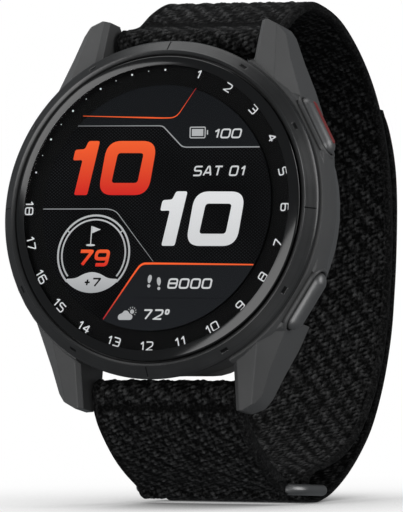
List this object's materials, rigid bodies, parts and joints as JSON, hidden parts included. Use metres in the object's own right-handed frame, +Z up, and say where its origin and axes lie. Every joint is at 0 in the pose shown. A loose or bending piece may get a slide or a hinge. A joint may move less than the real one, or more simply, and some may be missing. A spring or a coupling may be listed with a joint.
{
  "type": "golf gps watch",
  "caption": "Round golf GPS watch with a touch display, metal bezel, two side buttons and a nylon hook-and-loop strap closed through a metal ring.",
  "frame": {"origin": "floor point under the middle of the outline box", "axes": "+X to the watch's 3 o'clock, +Y from the display to the back of the strap loop, +Z up"},
  "size_m": [0.0433, 0.0577, 0.0631],
  "materials": {
    "bezel_metal": "anodised dark grey, fine brushed",
    "case_polymer": "fibre-reinforced polymer, fine matte",
    "glass": "polished, anti-reflective",
    "display": "lit AMOLED panel",
    "black_polymer": "black ink and black polymer",
    "rubber": "silicone seal",
    "button_metal": "anodised grey, satin",
    "accent": "red-orange anodised",
    "light_metal": "stamped sheet",
    "steel": "turned stainless steel",
    "ring_metal": "dark coated steel, satin",
    "copper": "copper on film",
    "brass": "sintered weight",
    "board": "solder-masked board",
    "cell": "foil-wrapped cell",
    "gold": "gold-plated contact",
    "nylon": "black ripstop knit with smooth woven edges",
    "hook_tape": "moulded hook tape"
  },
  "bodies": {
    "case": {"bezel": "bezel_metal", "cover_glass": "glass", "glass_seal": "black_polymer", "dial_ring": "black_polymer", "display_panel": "display", "bezel_seal": "rubber", "mid_case": "case_polymer", "display_chassis": "light_metal", "display_flex": "copper", "gnss_antenna": "copper", "main_board": "board", "battery_shield": "light_metal", "battery": "cell", "motor_can": "steel", "back_seal": "rubber", "back_cover": "case_polymer", "back_screw_1": "steel", "back_screw_2": "steel", "back_screw_3": "steel", "back_screw_4": "steel", "charge_contact_1": "gold", "charge_contact_2": "gold", "charge_contact_3": "gold", "charge_contact_4": "gold", "sensor_window": "glass", "sensor_module": "board", "upper_button_switch": "black_polymer", "lower_button_switch": "black_polymer", "upper_button_spring": "steel", "lower_button_spring": "steel"},
    "upper_button": {"upper_button": "button_metal", "upper_button_inlay": "accent", "upper_button_seal": "rubber", "upper_button_clip": "steel"},
    "lower_button": {"lower_button": "button_metal", "lower_button_seal": "rubber", "lower_button_clip": "steel"},
    "motor_weight": {"motor_weight": "brass"},
    "long_strap": {"strap_long": "nylon", "strap_fold": "nylon", "upper_bar_tube": "steel", "upper_bar_spring": "steel"},
    "upper_release_pin": {"upper_release_pin": "steel"},
    "tail": {"strap_tail": "nylon", "tail_hook_patch": "hook_tape"},
    "short_strap": {"strap_short": "nylon", "lower_bar_tube": "steel", "lower_bar_spring": "steel"},
    "lower_release_pin": {"lower_release_pin": "steel"},
    "ring": {"strap_ring": "ring_metal"}
  },
  "joints": [
    {"name": "upper_button_press", "type": "slide", "parent": "case", "child": "upper_button", "axis": [-0.866, -0.0821, -0.4932], "range_m": [0, 0.0005], "stiffness_N_per_m": 1500, "springref_m": -0.0003},
    {"name": "lower_button_press", "type": "slide", "parent": "case", "child": "lower_button", "axis": [-0.866, 0.0821, 0.4932], "range_m": [0, 0.0005], "stiffness_N_per_m": 1500, "springref_m": -0.0003},
    {"name": "short_strap_hinge", "type": "hinge", "parent": "case", "child": "short_strap", "pos_m": [-0.0001, -0.02107, 0.01396], "axis": [1, 0, 0], "range_deg": [-2.5, 2.5]},
    {"name": "long_strap_hinge", "type": "hinge", "parent": "case", "child": "long_strap", "pos_m": [-0.0001, -0.01385, 0.05737], "axis": [1, 0, 0], "range_deg": [-1, 1]},
    {"name": "ring_hinge", "type": "hinge", "parent": "short_strap", "child": "ring", "pos_m": [-0.0001, -0.00754, 0.00194], "axis": [1, 0, 0], "range_deg": [-6.5, 6.5]},
    {"name": "tail_peel", "type": "hinge", "parent": "long_strap", "child": "tail", "pos_m": [-0.0001, 0.02816, 0.03204], "axis": [-1, 0, 0], "range_deg": [0, 40]},
    {"name": "upper_pin_release", "type": "slide", "parent": "long_strap", "child": "upper_release_pin", "axis": [-1, 0, 0], "range_m": [0, 0.0014], "stiffness_N_per_m": 1000, "springref_m": -0.001},
    {"name": "lower_pin_release", "type": "slide", "parent": "short_strap", "child": "lower_release_pin", "axis": [-1, 0, 0], "range_m": [0, 0.0014], "stiffness_N_per_m": 1000, "springref_m": -0.001},
    {"name": "vibration_motor_spin", "type": "hinge", "parent": "case", "child": "motor_weight", "pos_m": [-0.0144, -0.01785, 0.03573], "axis": [0, -0.9864, 0.1642], "continuous": true}
  ],
  "couplings": [
    {"joint": "long_strap_hinge", "follows": "short_strap_hinge", "ratio": 0.20716},
    {"joint": "ring_hinge", "follows": "short_strap_hinge", "ratio": -2.33}
  ]
}
